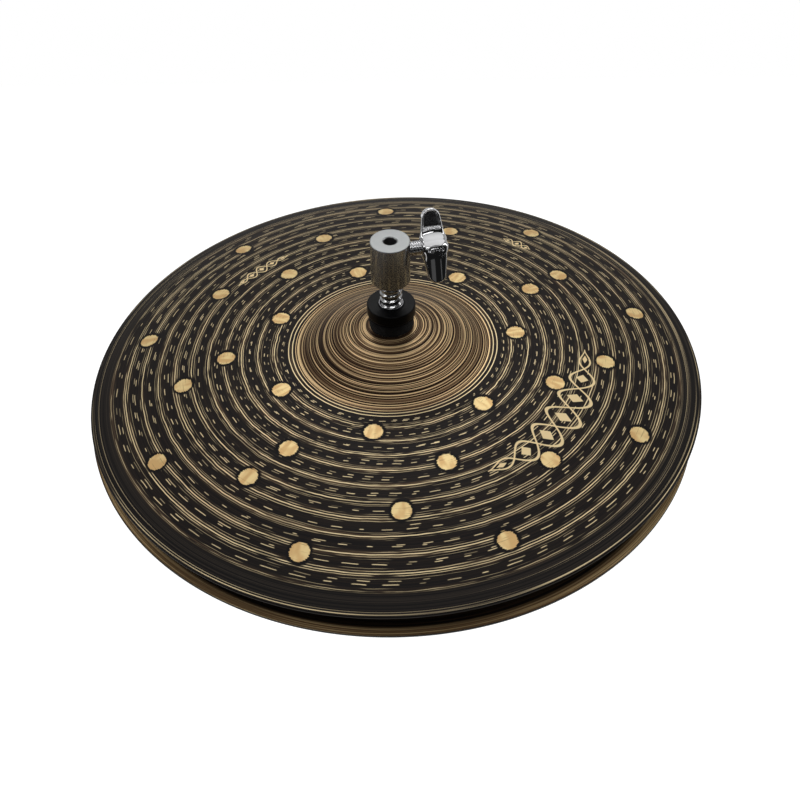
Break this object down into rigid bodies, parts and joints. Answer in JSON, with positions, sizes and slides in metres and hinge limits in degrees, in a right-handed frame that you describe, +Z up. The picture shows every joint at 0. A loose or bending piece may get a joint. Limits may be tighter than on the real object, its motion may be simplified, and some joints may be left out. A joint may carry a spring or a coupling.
{
  "type": "hi hat",
  "caption": "Pair of thin cymbals facing each other, the upper one carried by a chromed clutch with a wing screw, felts and finger nuts.",
  "frame": {"origin": "centre of the hole in the lower cymbal's bell, at the hole's lower lip, where the pair sits on a stand", "axes": "+Z up along the stand's pull rod, through the lower cymbal's hole and the clutch's bore; +X to the side that the wing screw stands on"},
  "size_m": [0.3565, 0.3556, 0.149],
  "materials": {
    "upper_bronze": "black-brown coated bronze, lathed, with cut gold lines, dashes and round gold spots",
    "lower_bronze": "black-brown coated bronze, lathed, with gold lines",
    "chrome": "polished chrome with a satin top face",
    "wing_chrome": "polished chrome on a casting",
    "screw_steel": "plated, rolled thread",
    "washer_steel": "plain zinc-plated steel",
    "nut_plastic": "black moulded plastic, satin",
    "felt": "dense black wool felt",
    "nylon": "natural nylon",
    "lock_nylon": "blue nylon lock ring",
    "pad_brass": "turned brass"
  },
  "bodies": {
    "lower_cymbal": {"bottom_cymbal": "lower_bronze"},
    "clutch": {"clutch_body": "chrome", "threaded_tube": "chrome"},
    "clamp_pad": {"clamp_pad": "pad_brass"},
    "wing_screw": {"clamp_screw": "screw_steel", "wing_handle": "wing_chrome"},
    "upper_washer": {"upper_washer": "washer_steel"},
    "upper_nut": {"upper_nut": "nut_plastic", "upper_nut_insert": "screw_steel"},
    "felts": {"upper_felt": "felt", "hole_sleeve": "nylon", "lower_felt": "felt"},
    "upper_cymbal": {"top_cymbal": "upper_bronze"},
    "lower_washer": {"lower_washer": "washer_steel"},
    "lower_nut": {"lower_nut": "chrome", "lower_nut_lock_ring": "lock_nylon"}
  },
  "joints": [
    {"name": "pedal_travel", "type": "slide", "parent": "lower_cymbal", "child": "clutch", "axis": [0, 0, 1], "range_m": [-0.014, 0], "stiffness_N_per_m": 1000, "springref_m": 0.03},
    {"name": "cymbal_rock", "type": "hinge", "parent": "clutch", "child": "felts", "pos_m": [0, 0, 0.08058], "axis": [0, 1, 0], "range_deg": [0, 1.8]},
    {"name": "cymbal_spin", "type": "hinge", "parent": "felts", "child": "upper_cymbal", "pos_m": [0, 0, 0.08058], "axis": [-0.0314, 0, 0.9995], "continuous": true},
    {"name": "clamp_travel", "type": "slide", "parent": "clutch", "child": "clamp_pad", "axis": [-0.9781, -0.2079, 0], "range_m": [-0.00375, 0.00125]},
    {"name": "wing_turn", "type": "hinge", "parent": "clamp_pad", "child": "wing_screw", "pos_m": [0, 0, 0.13058], "axis": [-0.9781, -0.2079, 0], "range_deg": [-1080, 360]},
    {"name": "upper_nut_travel", "type": "slide", "parent": "clutch", "child": "upper_washer", "axis": [0, 0, 1], "range_m": [0, 0.01]},
    {"name": "upper_nut_turn", "type": "hinge", "parent": "upper_washer", "child": "upper_nut", "pos_m": [0, 0, 0.09], "axis": [0, 0, 1], "range_deg": [0, 900]},
    {"name": "lower_nut_travel", "type": "slide", "parent": "clutch", "child": "lower_washer", "axis": [0, 0, -1], "range_m": [0, 0.012]},
    {"name": "lower_nut_turn", "type": "hinge", "parent": "lower_washer", "child": "lower_nut", "pos_m": [0, 0, 0.067], "axis": [0, 0, -1], "range_deg": [0, 2880]}
  ],
  "couplings": [
    {"joint": "cymbal_rock", "follows": "pedal_travel", "rad_per_m": -2.2439},
    {"joint": "wing_turn", "follows": "clamp_travel", "rad_per_m": 5026.5},
    {"joint": "upper_nut_turn", "follows": "upper_nut_travel", "rad_per_m": 1570.8},
    {"joint": "lower_nut_turn", "follows": "lower_nut_travel", "rad_per_m": 4188.8}
  ]
}
